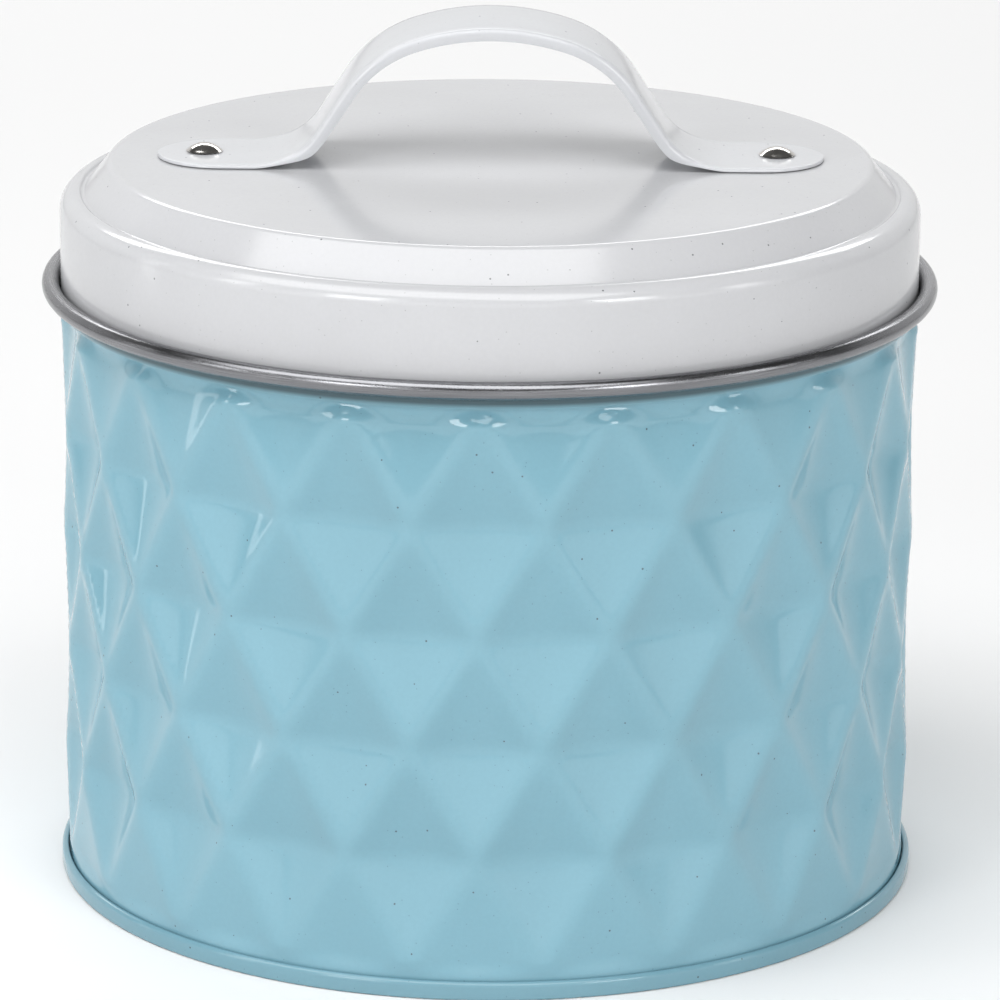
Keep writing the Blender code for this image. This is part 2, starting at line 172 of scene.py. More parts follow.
class Nodes:
    """One material's or world's node tree, with short ways to add and join nodes."""

    def __init__(self, owner):
        owner.use_nodes = True
        self.tree = owner.node_tree
        self.place = self.add("ShaderNodeTexCoord").outputs["Object"]

    def add(self, kind, inputs=None, **settings):
        node = self.tree.nodes.new(kind)
        for name, value in settings.items():
            setattr(node, name, value)
        for name, value in (inputs or {}).items():
            self.put(node.inputs[name], value)
        return node

    def put(self, socket, value):
        if isinstance(value, bpy.types.NodeSocket):
            self.tree.links.new(value, socket)
        else:
            socket.default_value = value

    def math(self, operation, first, second=0.0, third=0.0):
        inputs = {0: first, 1: second, 2: third}
        return self.add("ShaderNodeMath", inputs, operation=operation).outputs[0]

    def between(self, value, low, high, from_low=0.0, from_high=1.0):
        inputs = {"Value": value, "From Min": from_low, "From Max": from_high,
                  "To Min": low, "To Max": high}
        return self.add("ShaderNodeMapRange", inputs, clamp=True).outputs["Result"]

    def noise(self, size, detail=2.0, where=None, roughness=0.5):
        inputs = {"Vector": where or self.place, "Scale": 1.0 / size,
                  "Detail": detail, "Roughness": roughness}
        return self.add("ShaderNodeTexNoise", inputs).outputs[0]

    def mix(self, amount, first, second, blend="MIX"):
        node = self.add("ShaderNodeMix", data_type="RGBA", blend_type=blend)
        self.put(node.inputs[0], amount)
        self.put(node.inputs[6], first)
        self.put(node.inputs[7], second)
        return node.outputs[2]

    def specks(self, spacing, size, share):
        """1 inside a few small round specks, 0 elsewhere."""
        cells = self.add("ShaderNodeTexVoronoi", {"Vector": self.place, "Scale": 1.0 / spacing})
        near = self.math("LESS_THAN", cells.outputs["Distance"], size / spacing)
        pick = self.add("ShaderNodeSeparateColor", {0: cells.outputs["Color"]}).outputs[0]
        return self.math("MULTIPLY", near, self.math("LESS_THAN", pick, share))

    def bump(self, height, distance, under=None):
        """A fine relief, on top of the relief under it if there is one."""
        inputs = {"Height": height, "Distance": distance}
        if under:
            inputs["Normal"] = under
        return self.add("ShaderNodeBump", inputs).outputs["Normal"]

    def height(self):
        return self.add("ShaderNodeSeparateXYZ", {0: self.place}).outputs["Z"]


def rgba(values, scale=1.0):
    return (*[min(1.0, scale * part) for part in values], 1.0)


def new_material(name):
    material = bpy.data.materials.new(name)
    nodes = Nodes(material)
    return material, nodes, nodes.tree.nodes["Principled BSDF"]


DUST_SPACING = 2.6 * MM
DUST_SIZE = 0.18 * MM
DUST_SHARE = 0.26
DUST_STRENGTH = 0.75
DUST_COLOUR = (0.07, 0.08, 0.085)
PINHOLE_SPACING = 1.2 * MM
PINHOLE_SIZE = 0.11 * MM
PINHOLE_SHARE = 0.34
PINHOLE_STRENGTH = 0.5
MOTTLE_STRENGTH = 0.22
ENAMEL_IOR = 1.52
PEEL_SIZE = 1.7 * MM
PEEL_RELIEF = 3.5 * MICRON
SWELL_SIZE = 11 * MM
SWELL_RELIEF = 12 * MICRON
WORN_METAL = (0.55, 0.54, 0.52)
WORN_ROUGHNESS = 0.2
# Painted shade: the blue is darkened towards this dark tone in the strip under the curled rim.
PAINTED_SHADE_STRENGTH = 0.85
PAINTED_SHADE_FADE = 1.0 * MM


def enamel_colour(nodes, paint):
    """Broad and fine mottling, with dust specks and thin spots over it."""
    broad = nodes.between(nodes.noise(35 * MM), 0.0, 1.0, 0.3, 0.7)
    base = nodes.mix(broad, rgba(paint, 0.975), rgba(paint, 1.02))
    fine = nodes.between(nodes.noise(0.7 * MM, 3.0), 0.0, 1.0, 0.3, 0.7)
    base = nodes.mix(nodes.math("MULTIPLY", fine, MOTTLE_STRENGTH), base, rgba(paint, 0.88))
    dust = nodes.specks(DUST_SPACING, DUST_SIZE, DUST_SHARE)
    base = nodes.mix(nodes.math("MULTIPLY", dust, DUST_STRENGTH), base, rgba(DUST_COLOUR))
    pinholes = nodes.specks(PINHOLE_SPACING, PINHOLE_SIZE, PINHOLE_SHARE)
    return nodes.mix(nodes.math("MULTIPLY", pinholes, PINHOLE_STRENGTH), base, rgba(paint, 0.45))


def worn_share(nodes, wear_height):
    """1 where the paint has rubbed off, in patches that thin out up to wear_height."""
    edge = nodes.between(nodes.height(), 1.0, 0.0, 0.0, wear_height)
    patches = nodes.math("MULTIPLY", edge, nodes.noise(1.1 * MM, 5.0))
    return nodes.between(patches, 0.0, 1.0, 0.40, 0.46)


def enamel(name, paint, roughness, wear_height=None, painted_shade_height=None):
    """Baked gloss paint on tinplate. It can be worn low down, and darkened with painted shade under the
    rim.
    """
    material, nodes, shader = new_material(name)
    base = enamel_colour(nodes, paint)
    rough = nodes.between(nodes.noise(18 * MM, 4.0), 0.8 * roughness, 1.25 * roughness, 0.3, 0.7)
    metallic = 0.0
    if wear_height:
        metallic = worn_share(nodes, wear_height)
        base = nodes.mix(metallic, base, rgba(WORN_METAL))
        rough = nodes.math("ADD", rough, nodes.math("MULTIPLY", metallic, WORN_ROUGHNESS))
    # Painted shade under the rim: the paint turns darker above this height.
    if painted_shade_height:
        painted_shade = nodes.between(nodes.height(), 0.0, 1.0, painted_shade_height, painted_shade_height + PAINTED_SHADE_FADE)
        base = nodes.mix(nodes.math("MULTIPLY", painted_shade, PAINTED_SHADE_STRENGTH), base, rgba(paint, 0.12))
    peel = nodes.bump(nodes.noise(PEEL_SIZE, 1.0), PEEL_RELIEF)
    shader.inputs["IOR"].default_value = ENAMEL_IOR
    nodes.put(shader.inputs["Base Color"], base)
    nodes.put(shader.inputs["Roughness"], rough)
    nodes.put(shader.inputs["Metallic"], metallic)
    nodes.put(shader.inputs["Normal"], nodes.bump(nodes.noise(SWELL_SIZE, 1.0), SWELL_RELIEF, peel))
    return material


STREAK_SIZE = 0.12 * MM
STREAK_RELIEF = 6 * MICRON
STREAK_STRETCH = 0.012
GRAIN_SIZE = 0.25 * MM
GRAIN_RELIEF = 12 * MICRON
CLOUD_SIZE = 12 * MM
# Painted shade: the bare metal of the curled rim is multiplied by this dark tone.
CURL_PAINTED_SHADE = (0.47, 0.47, 0.48)
CURL_SHADE_FADE = 1.0 * MM


def rolled_streaks(nodes, parts):
    """Noise drawn out into lines that run round the tin's axis."""
    square = nodes.math("MULTIPLY_ADD", parts["Y"], parts["Y"],
                        nodes.math("MULTIPLY", parts["X"], parts["X"]))
    across = nodes.math("MULTIPLY_ADD", parts["Z"], 0.7, nodes.math("SQRT", square))
    where = nodes.add("ShaderNodeCombineXYZ", {
        "X": nodes.math("MULTIPLY", parts["X"], STREAK_STRETCH),
        "Y": nodes.math("MULTIPLY", parts["Y"], STREAK_STRETCH),
        "Z": across})
    return nodes.noise(STREAK_SIZE, 3.0, where.outputs[0], 0.65)


def tinplate(name, metal, roughness=0.24, curl_shade_above=None):
    """Bare rolled sheet: round streaks, cloudy patches, and painted shade that can darken it above a
    given height, over the curled rim.
    """
    material, nodes, shader = new_material(name)
    parts = nodes.add("ShaderNodeSeparateXYZ", {0: nodes.place}).outputs
    streak = rolled_streaks(nodes, parts)
    base = nodes.mix(nodes.between(streak, 0.0, 1.0, 0.3, 0.7), rgba(metal, 0.80), rgba(metal, 1.1))
    clouds = nodes.between(nodes.noise(CLOUD_SIZE, 3.0), 0.0, 0.3, 0.35, 0.7)
    base = nodes.mix(clouds, base, rgba(metal, 0.75))
    # Painted shade over the curl: the metal turns darker above this height.
    if curl_shade_above:
        curl_shade = nodes.between(parts["Z"], 0.0, 1.0, curl_shade_above, curl_shade_above + CURL_SHADE_FADE)
        base = nodes.mix(curl_shade, base, rgba(CURL_PAINTED_SHADE), "MULTIPLY")
    rough = nodes.between(streak, roughness - 0.05, roughness + 0.07, 0.3, 0.7)
    lines = nodes.bump(streak, STREAK_RELIEF)
    shader.inputs["Metallic"].default_value = 1.0
    nodes.put(shader.inputs["Base Color"], base)
    nodes.put(shader.inputs["Roughness"], rough)
    nodes.put(shader.inputs["Normal"], nodes.bump(nodes.noise(GRAIN_SIZE, 2.0), GRAIN_RELIEF, lines))
    return material


def plated(name, metal):
    """Nickel plate, polished, with handling marks."""
    material, nodes, shader = new_material(name)
    smear = nodes.noise(1.6 * MM, 4.0)
    base = nodes.mix(nodes.between(smear, 0.0, 1.0, 0.35, 0.65), rgba(metal, 0.86), rgba(metal, 1.06))
    shader.inputs["Metallic"].default_value = 1.0
    nodes.put(shader.inputs["Base Color"], base)
    nodes.put(shader.inputs["Roughness"], nodes.between(smear, 0.08, 0.17, 0.3, 0.7))
    nodes.put(shader.inputs["Normal"], nodes.bump(nodes.noise(0.5 * MM, 3.0), 3 * MICRON))
    return material


# ---------------------------------------------------------------- shape helpers

HOLE_RADIUS = 1.9 * MM
HOLE_REACH = 3 * MM


def arc(centre_radius, centre_height, radius, start, end, steps):
    """(radius, height) points on an arc, from one angle to another."""
    points = []
    for step in range(steps + 1):
        angle = start + (end - start) * step / steps
        across = centre_radius + radius * math.cos(angle)
        points.append((across, centre_height + radius * math.sin(angle)))
    return points


def rounded(path, radii, steps=5):
    """A (radius, height) path with an arc in place of each inner corner that has a radius."""
    points = [path[0]]
    for before, corner, after, radius in zip(path, path[1:], path[2:], radii):
        if not radius:
            points.append(corner)
            continue
        corner = Vector(corner)
        back = (Vector(before) - corner).normalized()
        on = (Vector(after) - corner).normalized()
        half = back.angle(on) / 2
        centre = corner + (back + on).normalized() * radius / math.sin(half)
        first = corner + back * radius / math.tan(half) - centre
        last = corner + on * radius / math.tan(half) - centre
        sweep = math.copysign(math.pi - 2 * half, first.x * last.y - first.y * last.x)
        for step in range(steps + 1):
            points.append(tuple(centre + Matrix.Rotation(sweep * step / steps, 2) @ first))
    return points + [path[-1]]


def even_steps(start, end, count):
    return [start + (end - start) * step / count for step in range(1, count + 1)]


def turned(points, columns):
    """A bmesh of the profile spun once about the tin's axis, closed at its seam and poles."""
    bm = bmesh.new()
    verts = [bm.verts.new((radius, 0, height)) for radius, height in points]
    edges = [bm.edges.new(pair) for pair in zip(verts, verts[1:])]
    bmesh.ops.spin(bm, geom=verts + edges, axis=(0, 0, 1), cent=(0, 0, 0), angle=TURN,
                   steps=columns, use_merge=True)
    bmesh.ops.remove_doubles(bm, verts=bm.verts, dist=2 * MICRON)
    return bm


def face_outwards(bm, low, high, outward):
    """Turns the whole sheet so that its faces between two heights look along outward(middle)."""
    bmesh.ops.recalc_face_normals(bm, faces=bm.faces)
    vote = 0.0
    for face in bm.faces:
        middle = face.calc_center_median()
        if low < middle.z < high:
            vote += face.normal.dot(outward(middle)) * face.calc_area()
    if vote < 0:
        bmesh.ops.reverse_faces(bm, faces=bm.faces)


def from_axis(middle):
    return Vector((middle.x, middle.y, 0)).normalized()


def upwards(middle):
    return Vector((0, 0, 1))


def downwards(middle):
    return Vector((0, 0, -1))


def new_piece(name, bm, materials):
    mesh = bpy.data.meshes.new(name)
    bm.to_mesh(mesh)
    bm.free()
    for material in materials:
        mesh.materials.append(material)
    piece = bpy.data.objects.new(name, mesh)
    bpy.context.scene.collection.objects.link(piece)
    return piece


def give_sheet(piece, thickness):
    """The drawn face is the painted one, and the bare face lies behind it."""
    solidify = piece.modifiers.new("sheet", "SOLIDIFY")
    solidify.thickness = thickness
    solidify.offset = -1.0
    solidify.use_even_offset = True
    solidify.material_offset = 1
    solidify.material_offset_rim = 1


def bore_for_rivets(piece, height):
    """Clears the two round rivet holes along Z through the sheet at this height."""
    for x in (-RIVET_X, RIVET_X):
        bm = bmesh.new()
        bmesh.ops.create_cone(bm, cap_ends=True, cap_tris=False, segments=48,
                              radius1=HOLE_RADIUS, radius2=HOLE_RADIUS, depth=2 * HOLE_REACH,
                              matrix=Matrix.Translation((x, 0, height)))
        drill = new_piece(piece.name + "_drill", bm, [])
        hole = piece.modifiers.new("hole", "BOOLEAN")
        hole.operation = "DIFFERENCE"
        hole.solver = "EXACT"
        hole.object = drill
        drill.hide_render = True


def settle(piece):
    """Makes the modifiers' result the piece's own mesh and shades it."""
    bpy.context.view_layer.update()
    shape = piece.evaluated_get(bpy.context.evaluated_depsgraph_get())
    mesh = bpy.data.meshes.new_from_object(shape)
    drills = [m.object for m in piece.modifiers if m.type == "BOOLEAN"]
    piece.modifiers.clear()
    piece.data = mesh
    mesh.name = piece.name
    mesh.shade_smooth()
    mesh.set_sharp_from_angle(angle=SHARP_ANGLE)
    for drill in drills:
        bpy.data.objects.remove(drill, do_unlink=True)
    return piece


def join_frame(piece, body, node):
    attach(piece, body)
    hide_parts(node)


# ---------------------------------------------------------------- body

COLUMNS_PER_DIAMOND = 18
STEPS_PER_ROW = 16
NECK_BLEND_BELOW = 1.9 * MM
NECK_BLEND_ABOVE = 1.3 * MM
FOOT_BLEND_LOW = 3.5 * MM
FOOT_BLEND_HIGH = 6.6 * MM
SOFTENING_PASSES = 2
TOP_ROW_SHARE = 0.5
BOTTOM_ROW_SHARE = 0.12
FOOT_INSET = 0.63 * MM
HOOK_REACH = 0.65 * MM
HOOK_BOTTOM = 0.9 * MM
HOOK_TOP = 2.2 * MM
SEAM_MOUTH = 2.9 * MM
LEDGE_LOW = 1.48 * MM
LEDGE_HIGH = 1.72 * MM
BAND_LOW = 2.10 * MM
# Painted shade on the blue under the rim starts at this height.
PAINTED_SHADE_ABOVE = 104.8 * MM
# Painted shade on the bare curled rim starts at this height.
CURL_SHADE_ABOVE = 105.0 * MM


def facet_radius(body, angle, height):
    """Distance from the axis to the diamonds at one angle and height: ridges, and dished faces."""
    half_step = math.pi / body.around
    along = (height - body.lowest_row) / body.row_pitch
    row = min(max(math.floor(along), 0), body.rows - 1)
    rise = min(max(along - row, 0.0), 1.0)
    column = angle / half_step
    parity = (body.rows - row - 1) % 2
    peak = 2 * round((column - parity) / 2) + parity
    lift = rise
    valley_row = row
    if abs(column - peak) > 1 - rise:
        parity = 1 - parity
        peak = 2 * round((column - parity) / 2) + parity
        lift = 1 - rise
        valley_row = row + 1
    chord = math.cos(half_step)
    aside = column - peak
    flat = body.wall_radius * (chord + lift * (1 - chord)) / math.cos(aside * half_step)
    sinking = max(1 - lift - aside * aside / max(1 - lift, 0.001), 0.0)
    share = 1.0
    if valley_row <= 0:
        share = BOTTOM_ROW_SHARE
    elif valley_row >= body.rows:
        share = TOP_ROW_SHARE
    return flat - body.valley_depth * share * sinking


def ease(value):
    value = min(max(value, 0.0), 1.0)
    return value * value * (3 - 2 * value)


def body_profile(body):
    """Painted face from the hook in the bottom seam up to the curl, with its wall still round."""
    top_row = body.lowest_row + body.rows * body.row_pitch
    foot_radius = body.wall_radius - FOOT_INSET
    band_radius = RIM_OUTER_RADIUS - 2 * body.curl_radius + body.sheet
    points = [(foot_radius + HOOK_REACH, HOOK_TOP), (foot_radius + HOOK_REACH, HOOK_BOTTOM),
              (foot_radius, HOOK_BOTTOM), (foot_radius, SEAM_MOUTH), (foot_radius, FOOT_BLEND_LOW)]
    heights = even_steps(FOOT_BLEND_LOW, FOOT_BLEND_HIGH, 6)
    first_step = math.ceil((FOOT_BLEND_HIGH - body.lowest_row) / body.row_pitch * STEPS_PER_ROW)
    last_step = body.rows * STEPS_PER_ROW - 2
    for step in range(first_step, last_step + 1):
        heights.append(body.lowest_row + step * body.row_pitch / STEPS_PER_ROW)
    heights += even_steps(heights[-1], top_row + NECK_BLEND_ABOVE, 12)
    points += [(body.wall_radius, height) for height in heights]
    curl_height = RIM_TOP - body.curl_radius
    curl_centre = RIM_OUTER_RADIUS - body.curl_radius
    inner_curl = body.curl_radius - body.sheet
    points += [(body.neck_radius + 0.25 * MM, top_row + LEDGE_LOW),
               (band_radius - 0.14 * MM, top_row + LEDGE_HIGH),
               (band_radius, top_row + BAND_LOW)]
    points += arc(curl_centre, curl_height, inner_curl, math.pi, -2 * math.pi / 3, 20)
    return points


def press_body(bm, body):
    """Presses the round wall into diamonds that die out in the neck and in the foot."""
    top_row = body.lowest_row + body.rows * body.row_pitch
    neck_low = top_row - NECK_BLEND_BELOW
    neck_high = top_row + NECK_BLEND_ABOVE
    foot_radius = body.wall_radius - FOOT_INSET
    pressed = []
    for vert in bm.verts:
        place = vert.co
        if abs(math.hypot(place.x, place.y) - body.wall_radius) > 0.01 * MM:
            continue
        angle = math.atan2(place.y, place.x)
        radius = facet_radius(body, angle, place.z)
        neck = ease((place.z - neck_low) / (neck_high - neck_low))
        foot = ease((FOOT_BLEND_HIGH - place.z) / (FOOT_BLEND_HIGH - FOOT_BLEND_LOW))
        radius += (body.neck_radius - radius) * neck
        radius += (foot_radius - radius) * foot
        vert.co = (radius * math.cos(angle), radius * math.sin(angle), place.z)
        pressed.append(vert)
    for _ in range(SOFTENING_PASSES):
        bmesh.ops.smooth_vert(bm, verts=pressed, factor=0.5, use_axis_x=True, use_axis_y=True,
                              use_axis_z=False)


class COOKIETIN_OT_body(bpy.types.Operator):
    """Model the body: one sheet pressed into diamonds, with a curled bare rim"""

    bl_idname = "cookie_tin.body"
    bl_label = "Body"

    def execute(self, context):
        body = context.scene.cookie_tin_body
        bm = turned(body_profile(body), body.around * COLUMNS_PER_DIAMOND)
        press_body(bm, body)
        bmesh.ops.rotate(bm, verts=bm.verts, cent=(0, 0, 0),
                         matrix=Matrix.Rotation(body.turn, 3, "Z"))
        face_outwards(bm, 0.01, 0.1, from_axis)
        paint = enamel("blue_enamel_gloss", body.paint, roughness=0.07, painted_shade_height=PAINTED_SHADE_ABOVE)
        metal = tinplate("bare_tinplate", body.metal, curl_shade_above=CURL_SHADE_ABOVE)
        piece = new_piece("tin_body", bm, [paint, metal])
        give_sheet(piece, body.sheet)
        settle(piece)
        join_frame(piece, "tin", "body_shell")
        return {"FINISHED"}


# ---------------------------------------------------------------- bottom

SEAM_FOLDS = 1.18 * MM
CHUCK_STEP = 0.93 * MM
SEAM_TUCK = 1.6 * MM
BEAD_DEPTH = 0.9 * MM
BEAD_INNER = 1.4 * MM
BEAD_OUTER = 2.6 * MM
PANEL_MIDDLE = 30 * MM
SEAM_WEAR_HEIGHT = 0.6 * MM
# Painted shade: the seam's paint is the body's blue darkened by this factor.
SEAM_PAINTED_SHADE = 0.84


def bottom_profile(bottom):
    """Painted face from the seam's tucked edge round its outside to the panel's middle."""
    neck = bottom.seam_radius - SEAM_FOLDS
    chuck = neck - CHUCK_STEP
    panel = bottom.panel_height
    path = [
        (neck, bottom.seam_height - SEAM_TUCK),
        (neck, bottom.seam_height),
        (bottom.seam_radius, bottom.seam_height),
        (bottom.seam_radius, 0),
        (chuck, 0),
        (chuck, panel),
        (bottom.bead_radius + BEAD_OUTER, panel),
        (bottom.bead_radius + BEAD_INNER, panel - BEAD_DEPTH),
        (bottom.bead_radius - BEAD_INNER, panel - BEAD_DEPTH),
        (bottom.bead_radius - BEAD_OUTER, panel),
        (PANEL_MIDDLE, panel),
        (0, panel),
    ]
    radii = [0.3 * MM, 0.8 * MM, 0.5 * MM, 0.45 * MM, 0.5 * MM,
             0.7 * MM, 0.7 * MM, 0.7 * MM, 0.7 * MM, 0]
    return rounded(path, radii)


class COOKIETIN_OT_bottom(bpy.types.Operator):
    """Model the bottom end: the rounded double seam and the beaded panel"""

    bl_idname = "cookie_tin.bottom"
    bl_label = "Bottom"

    def execute(self, context):
        bottom = context.scene.cookie_tin_bottom
        body = context.scene.cookie_tin_body
        bm = turned(bottom_profile(bottom), ROUND_COLUMNS)
        face_outwards(bm, bottom.panel_height - 0.1 * MM, bottom.panel_height + 0.1 * MM,
                      downwards)
        # The seam's blue is the body's paint with painted shade, darker by a fixed factor.
        seam_shaded_paint = [SEAM_PAINTED_SHADE * part for part in body.paint]
        paint = enamel("blue_enamel_seam", seam_shaded_paint, roughness=0.12, wear_height=SEAM_WEAR_HEIGHT)
        metal = tinplate("bare_end_plate", body.metal, roughness=0.3)
        piece = new_piece("tin_bottom", bm, [paint, metal])
        give_sheet(piece, bottom.sheet)
        settle(piece)
        join_frame(piece, "tin", "bottom_end")
        return {"FINISHED"}


# ---------------------------------------------------------------- lid

HEM_WIDTH = 1.05 * MM
HEM_HEIGHT = 1.7 * MM
PLATEAU_MIDDLE = 30 * MM


def lid_profile(lid):
    """Painted face from the middle of the raised top out and down to the hem."""
    groove_height = lid.crest_height - lid.groove_depth
    crest_radius = SKIRT_RADIUS - lid.shoulder_radius
    path = [
        (0, PLATEAU_HEIGHT),
        (PLATEAU_MIDDLE, PLATEAU_HEIGHT),
        (lid.plateau_radius, PLATEAU_HEIGHT),
        (lid.groove_radius, groove_height),
        (crest_radius - 0.3 * MM, lid.crest_height),
        (SKIRT_RADIUS, lid.crest_height),
        (SKIRT_RADIUS, SKIRT_BOTTOM),
        (SKIRT_RADIUS - HEM_WIDTH, SKIRT_BOTTOM),
        (SKIRT_RADIUS - HEM_WIDTH, SKIRT_BOTTOM + HEM_HEIGHT),
    ]
    radii = [0, lid.edge_radius, 0.5 * MM, 0.55 * MM, lid.shoulder_radius, 0.38 * MM, 0.38 * MM]
    return rounded(path, radii, 9)


class COOKIETIN_OT_lid(bpy.types.Operator):
    """Model the lid: a turned shell with a raised top, a rounded shoulder and a hemmed skirt"""

    bl_idname = "cookie_tin.lid"
    bl_label = "Lid"

    def execute(self, context):
        lid = context.scene.cookie_tin_lid
        bm = turned(lid_profile(lid), ROUND_COLUMNS)
        face_outwards(bm, PLATEAU_HEIGHT - 0.1 * MM, PLATEAU_HEIGHT + 0.1 * MM, upwards)
        paint = enamel("white_enamel_gloss", lid.paint, roughness=0.14)
        body = context.scene.cookie_tin_body
        metal = tinplate("bare_lid_plate", body.metal, roughness=0.3)
        piece = new_piece("tin_lid", bm, [paint, metal])
        give_sheet(piece, lid.sheet)
        bore_for_rivets(piece, PLATEAU_HEIGHT)
        settle(piece)
        join_frame(piece, "lid", "lid_shell")
        return {"FINISHED"}


# ---------------------------------------------------------------- handle

ACROSS_STEPS = 6
FOLD_STEPS = 5
FOLD_GROWTH = 3.9 * MM


def strap_stations(handle, foot_top):
    """(x, z, slope) along the strap's top from the crown's middle to the foot's tip."""
    rise = HANDLE_TOP - foot_top
    span = HANDLE_HALF_LENGTH - handle.foot_length
    crown, leg = handle.crown_angle, handle.leg_angle
    up = (rise - handle.shoulder_bend * (math.cos(crown) - math.cos(leg))
          - handle.foot_bend * (1 - math.cos(leg)))
    out = (span - handle.shoulder_bend * (math.sin(leg) - math.sin(crown))
           - handle.foot_bend * math.sin(leg))
    scale = (1 - math.cos(crown)) * math.cos(leg) - math.sin(crown) * math.sin(leg)
    crown_bend = (up * math.cos(leg) - out * math.sin(leg)) / scale
    stations = []
    for slope in [0.0] + even_steps(0.0, crown, 10):
        stations.append((crown_bend * math.sin(slope),
                         HANDLE_TOP - crown_bend * (1 - math.cos(slope)), slope))
    centre_x = (crown_bend - handle.shoulder_bend) * math.sin(crown)
    centre_z = HANDLE_TOP - crown_bend + (crown_bend - handle.shoulder_bend) * math.cos(crown)
    for slope in even_steps(crown, leg, 12):
        stations.append((centre_x + handle.shoulder_bend * math.sin(slope),
                         centre_z + handle.shoulder_bend * math.cos(slope), slope))
    for slope in [leg] + even_steps(leg, 0.0, 20):
        stations.append((span - handle.foot_bend * math.sin(slope),
                         foot_top + handle.foot_bend * (1 - math.cos(slope)), slope))
    round_start = HANDLE_HALF_LENGTH - HANDLE_WIDTH / 2
    stations.append(((span + round_start) / 2, foot_top, 0.0))
    stations.append((round_start, foot_top, 0.0))
    for angle in even_steps(0.0, math.pi / 2, 16):
        stations.append((round_start + HANDLE_WIDTH / 2 * math.sin(angle), foot_top, 0.0))
    return stations


def strap_section(handle, station, foot_top):
    """Points across the strap at one station: fold, crowned top, fold."""
    x, z, slope = station
    past_round = max(0.0, abs(x) - (HANDLE_HALF_LENGTH - HANDLE_WIDTH / 2))
    half = math.sqrt(max(0.0, (HANDLE_WIDTH / 2) ** 2 - past_round ** 2))
    growth = ease((z - foot_top) / FOLD_GROWTH)
    depth = handle.sheet + (handle.fold_drop - handle.sheet) * growth
    crowning = handle.crowning * growth
    bend = min(handle.fold_radius, 0.8 * depth, half)
    side = [(half, -depth)]
    for step in range(FOLD_STEPS + 1):
        angle = math.pi / 2 * step / FOLD_STEPS
        side.append((half - bend * (1 - math.cos(angle)), -bend * (1 - math.sin(angle))))
    flat = half - bend
    for step in range(1, ACROSS_STEPS):
        side.append((flat * (1 - step / ACROSS_STEPS), 0.0))
    lines = [(-across, down) for across, down in side] + [(0.0, 0.0)]
    lines += [(across, down) for across, down in reversed(side)]
    points = []
    for across, down in lines:
        down -= crowning * (across / half) ** 2 if half > 0 else 0.0
        inwards = math.copysign(down * math.sin(slope), x)
        points.append((x - inwards, across, z + down * math.cos(slope)))
    return points


class COOKIETIN_OT_handle(bpy.types.Operator):
    """Model the strap handle: folded long edges, a bowed crown and two flat round feet"""

    bl_idname = "cookie_tin.handle"
    bl_label = "Handle"

    def execute(self, context):
        handle = context.scene.cookie_tin_handle
        foot_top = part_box("handle_strap")[0].z + handle.sheet
        right = strap_stations(handle, foot_top)
        left = [(-x, z, slope) for x, z, slope in reversed(right[1:])]
        sections = [strap_section(handle, station, foot_top) for station in left + right]
        count = len(sections[0])
        bm = bmesh.new()
        grid = bmesh.ops.create_grid(bm, x_segments=count - 1, y_segments=len(sections) - 1,
                                     size=1.0)
        ordered = sorted(grid["verts"], key=lambda vert: (round(vert.co.y, 5), vert.co.x))
        for index, section in enumerate(sections):
            for vert, place in zip(ordered[count * index:count * index + count], section):
                vert.co = place
        bmesh.ops.remove_doubles(bm, verts=bm.verts, dist=4 * MICRON)
        face_outwards(bm, HANDLE_TOP - 1.0 * MM, HANDLE_TOP + 1.0 * MM, upwards)
        paint = enamel("white_enamel_strap", handle.paint, roughness=0.16)
        piece = new_piece("tin_handle", bm, [paint, paint])
        give_sheet(piece, handle.sheet)
        bore_for_rivets(piece, foot_top)
        edges = piece.modifiers.new("edges", "BEVEL")
        edges.width = 0.14 * MM
        edges.segments = 3
        edges.limit_method = "ANGLE"
        edges.angle_limit = SHARP_ANGLE
        settle(piece)
        join_frame(piece, "lid", "handle_strap")
        return {"FINISHED"}


# ---------------------------------------------------------------- rivets


def rivet_profile(rivets, head_base):
    """From the dome's top round the head, down the shank and round the closed end."""
    dome = (RIVET_HEAD_RADIUS ** 2 + rivets.head_height ** 2) / (2 * rivets.head_height)
    spread = math.asin(RIVET_HEAD_RADIUS / dome)
    points = arc(0, RIVET_TOP - dome, dome, math.pi / 2, math.pi / 2 - spread * 0.94, 12)
    foot_top = RIVET_BOTTOM + rivets.foot_thickness
    path = [
        points[-1],
        (RIVET_HEAD_RADIUS, head_base + 0.05 * MM),
        (RIVET_HEAD_RADIUS - 0.12 * MM, head_base),
        (rivets.shank_radius, head_base),
        (rivets.shank_radius, foot_top),
        (rivets.foot_radius, foot_top),
        (rivets.foot_radius, RIVET_BOTTOM),
        (1.15 * MM, RIVET_BOTTOM),
        (0.85 * MM, RIVET_BOTTOM + 0.5 * MM),
        (0, RIVET_BOTTOM + 0.5 * MM),
    ]
    radii = [0, 0, 0.15 * MM, 0.1 * MM, 0.2 * MM, 0.45 * MM, 0.15 * MM, 0.15 * MM]
    return points[:-1] + rounded(path, radii)


class COOKIETIN_OT_rivets(bpy.types.Operator):
    """Model the two domed rivets that hold the handle"""

    bl_idname = "cookie_tin.rivets"
    bl_label = "Rivets"

    def execute(self, context):
        rivets = context.scene.cookie_tin_rivets
        metal = plated("nickel_plate", rivets.metal)
        head_base = RIVET_TOP - rivets.head_height
        for side, node in ((-1, "rivet_left"), (1, "rivet_right")):
            bm = turned(rivet_profile(rivets, head_base), 64)
            face_outwards(bm, head_base + 0.2 * MM, RIVET_TOP, upwards)
            bmesh.ops.translate(bm, verts=bm.verts, vec=(side * RIVET_X, 0, 0))
            piece = settle(new_piece("tin_" + node, bm, [metal]))
            join_frame(piece, "lid", node)
        return {"FINISHED"}


